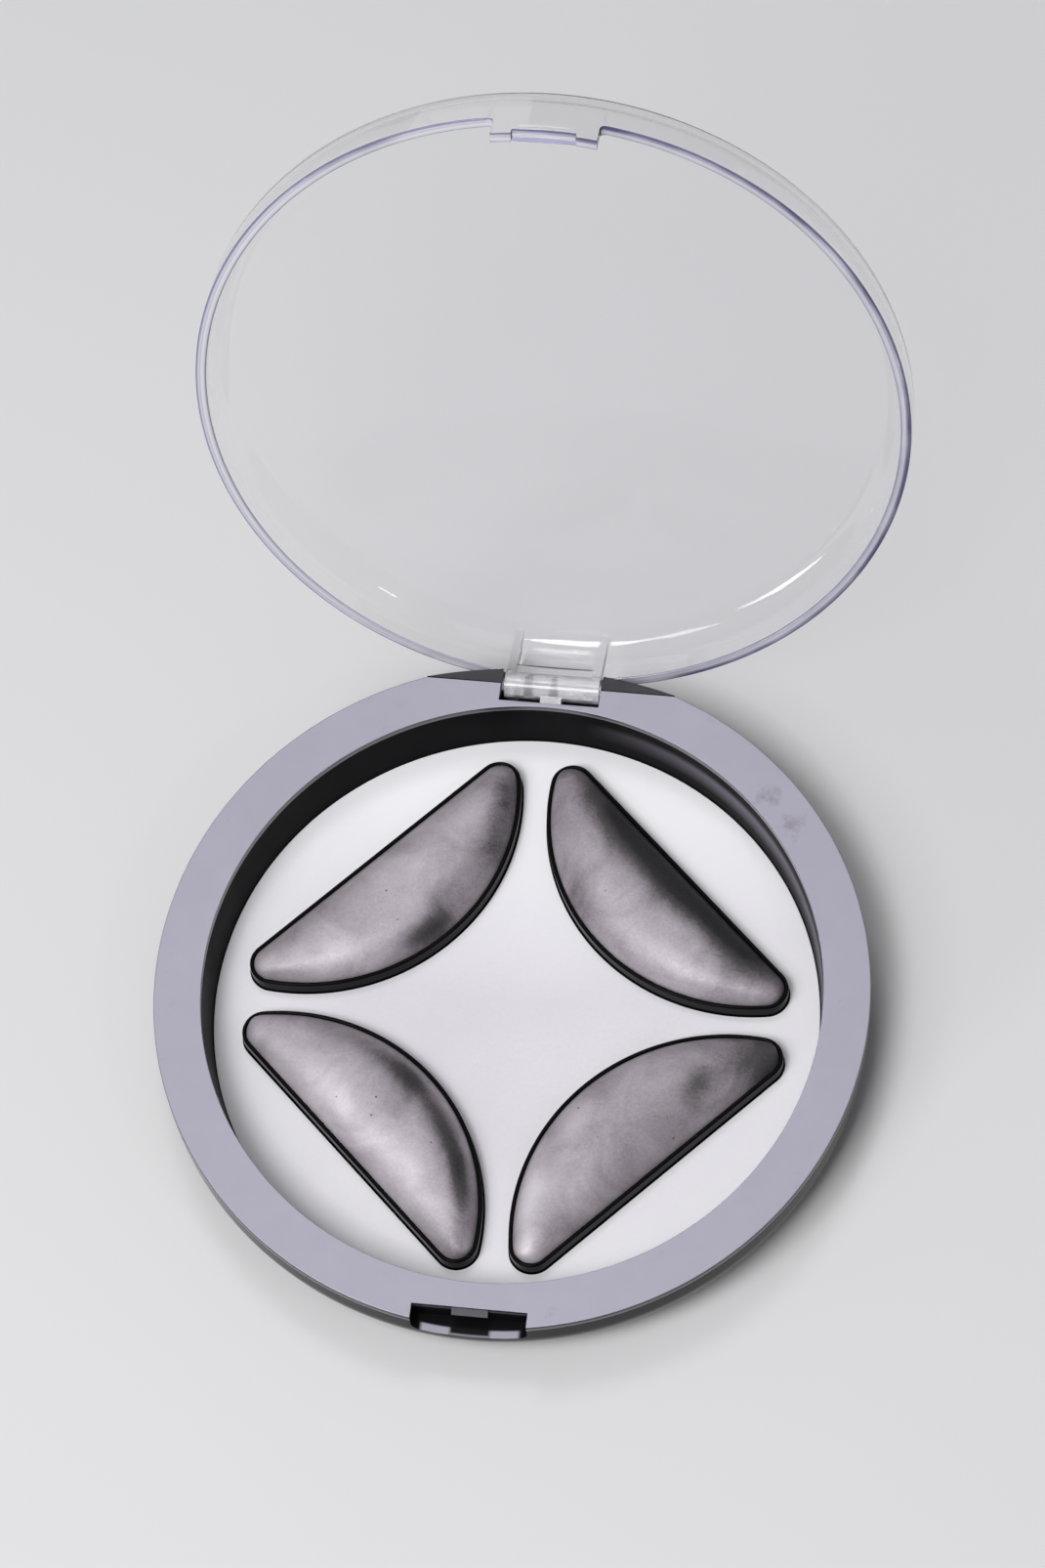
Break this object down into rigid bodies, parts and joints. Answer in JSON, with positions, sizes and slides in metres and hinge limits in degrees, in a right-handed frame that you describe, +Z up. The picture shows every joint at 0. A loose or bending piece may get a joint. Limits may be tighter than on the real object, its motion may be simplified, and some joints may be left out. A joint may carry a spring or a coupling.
{
  "type": "round cosmetic palette compact",
  "caption": "Round gloss-black palette compact with raised half-moon pans of domed powder on a white card and a clear lid that flips up on a moulded hinge.",
  "frame": {"origin": "centre of the flat underside of the base", "axes": "+X along the hinge axis, +Y from the middle to the hinge, -Y to the latch, +Z up"},
  "size_m": [0.08, 0.1172, 0.0792],
  "materials": {
    "black_plastic": "gloss moulded",
    "lilac_plastic": "satin moulded, lilac-grey",
    "white_card": "smooth white card",
    "pearl_powder": "pearl powder, silver to charcoal",
    "adhesive": "thin double-sided pad",
    "clear_plastic": "clear moulded, faint lilac tint"
  },
  "bodies": {
    "base": {"base_shell": "black_plastic", "deck_ring": "lilac_plastic", "insert_card": "white_card", "pan_rear_right": "black_plastic", "pan_rear_left": "black_plastic", "pan_front_left": "black_plastic", "pan_front_right": "black_plastic", "powder_rear_right": "pearl_powder", "powder_rear_left": "pearl_powder", "powder_front_left": "pearl_powder", "powder_front_right": "pearl_powder", "glue_pad_rear_right": "adhesive", "glue_pad_rear_left": "adhesive", "glue_pad_front_left": "adhesive", "glue_pad_front_right": "adhesive"},
    "lid": {"lid": "clear_plastic"}
  },
  "joints": [
    {"name": "lid_hinge", "type": "hinge", "parent": "base", "child": "lid", "pos_m": [0, 0.03815, 0.0079], "axis": [1, 0, 0], "range_deg": [0, 114]}
  ]
}
